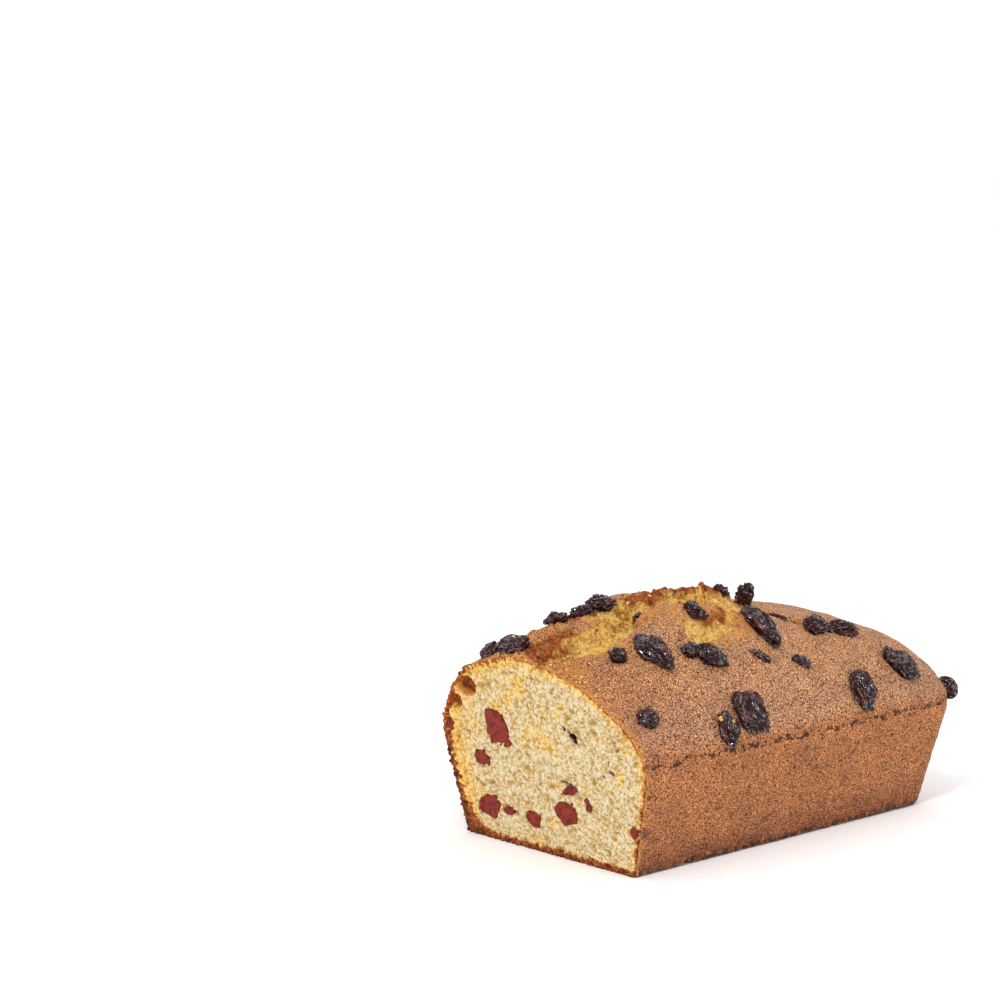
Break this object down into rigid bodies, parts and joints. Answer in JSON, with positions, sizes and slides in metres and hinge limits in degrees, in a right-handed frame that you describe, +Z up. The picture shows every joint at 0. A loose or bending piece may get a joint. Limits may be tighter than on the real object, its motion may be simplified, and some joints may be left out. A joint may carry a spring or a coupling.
{
  "type": "cranberry orange loaf cake",
  "caption": "Tin-baked loaf cake with a split dome, dark dried cranberries on the crust and one end cut away, showing pale crumb with red fruit.",
  "frame": {"origin": "middle of the base of the bounding box, on the surface that the loaf stands on", "axes": "+X from the cut face along the loaf to its uncut far end, +Z up"},
  "size_m": [0.1784, 0.1074, 0.0894],
  "materials": {
    "cake": "baked brown crust over pale yellow crumb, matte",
    "cranberry": "wrinkled dried fruit, dark and glossy",
    "cut_cranberry": "cut fruit flesh, dull red"
  },
  "bodies": {
    "root": {"loaf": "cake", "cranberry_01": "cranberry", "cranberry_02": "cranberry", "cranberry_03": "cranberry", "cranberry_04": "cranberry", "cranberry_05": "cranberry", "cranberry_06": "cranberry", "cranberry_07": "cranberry", "cranberry_08": "cranberry", "cranberry_09": "cranberry", "cranberry_10": "cranberry", "cranberry_11": "cranberry", "cranberry_12": "cranberry", "cranberry_13": "cranberry", "cranberry_14": "cranberry", "cranberry_15": "cranberry", "cranberry_16": "cranberry", "cranberry_17": "cranberry", "cranberry_18": "cranberry", "cranberry_19": "cranberry", "cranberry_20": "cranberry", "cranberry_21": "cranberry", "cranberry_22": "cranberry", "cranberry_23": "cranberry", "cranberry_24": "cranberry", "cranberry_25": "cranberry", "cranberry_26": "cranberry", "cranberry_27": "cranberry", "cranberry_28": "cranberry", "cranberry_29": "cranberry", "cranberry_30": "cranberry", "cranberry_31": "cranberry", "cranberry_32": "cranberry", "cut_cranberry_01": "cut_cranberry", "cut_cranberry_02": "cut_cranberry", "cut_cranberry_03": "cut_cranberry", "cut_cranberry_04": "cut_cranberry", "cut_cranberry_05": "cut_cranberry", "cut_cranberry_06": "cut_cranberry", "cut_cranberry_07": "cut_cranberry", "cut_cranberry_08": "cut_cranberry", "cut_cranberry_09": "cut_cranberry", "cut_cranberry_10": "cut_cranberry"}
  },
  "joints": []
}
